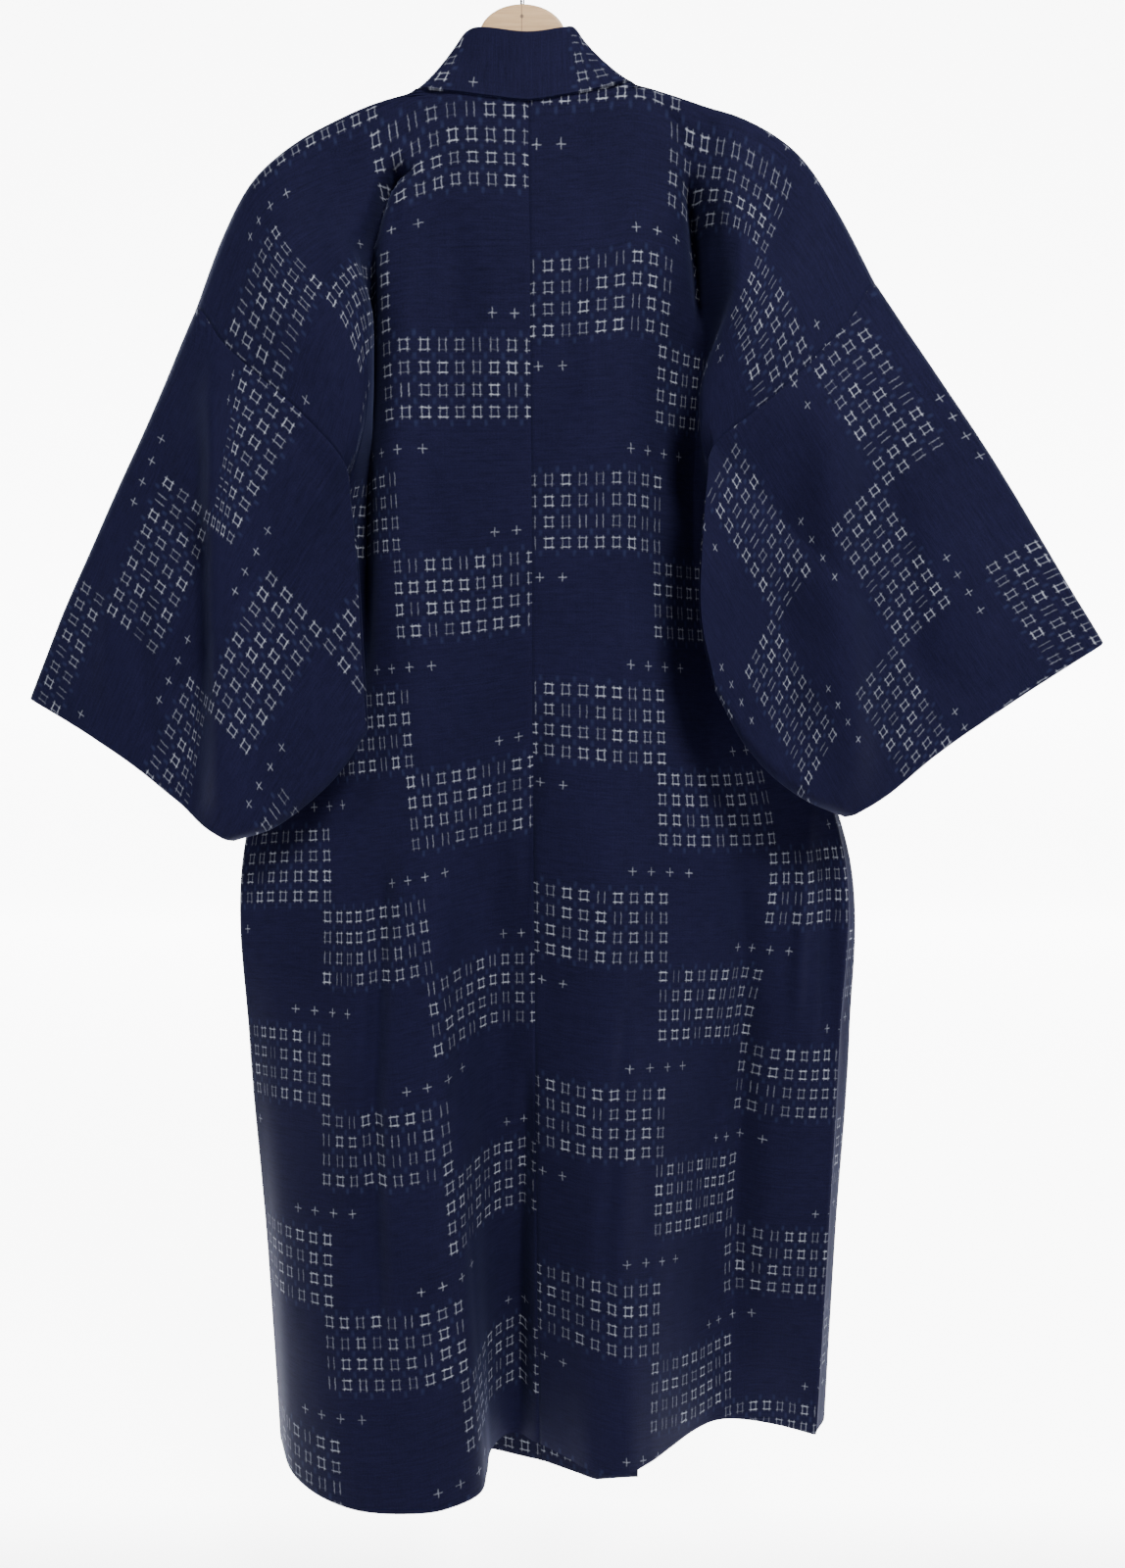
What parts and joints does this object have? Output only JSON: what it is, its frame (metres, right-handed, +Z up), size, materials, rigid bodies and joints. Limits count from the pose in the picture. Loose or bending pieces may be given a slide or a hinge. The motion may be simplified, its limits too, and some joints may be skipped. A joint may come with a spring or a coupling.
{
  "type": "kimono on a wooden hanger",
  "caption": "Long-sleeved kimono of indigo cotton with woven squares and crosses, hanging open-necked on a wooden hanger with a wire hook.",
  "frame": {"origin": "inner top of the hanger's hook, where a rail would hold it", "axes": "+Z up along the hanging length, +X towards the wearer's right, +Y towards the garment's front"},
  "size_m": [0.9014, 0.1606, 1.3675],
  "materials": {
    "cotton_indigo": "matte woven cotton, dark indigo",
    "wood_pale": "bare pale wood, satin",
    "steel_hook": "plain bright wire"
  },
  "bodies": {
    "root": {"body_left": "cotton_indigo", "body_right": "cotton_indigo", "okumi_left": "cotton_indigo", "okumi_right": "cotton_indigo", "sleeve_left": "cotton_indigo", "sleeve_right": "cotton_indigo", "collar": "cotton_indigo", "hanger": "wood_pale", "hanger_hook": "steel_hook"}
  },
  "joints": []
}
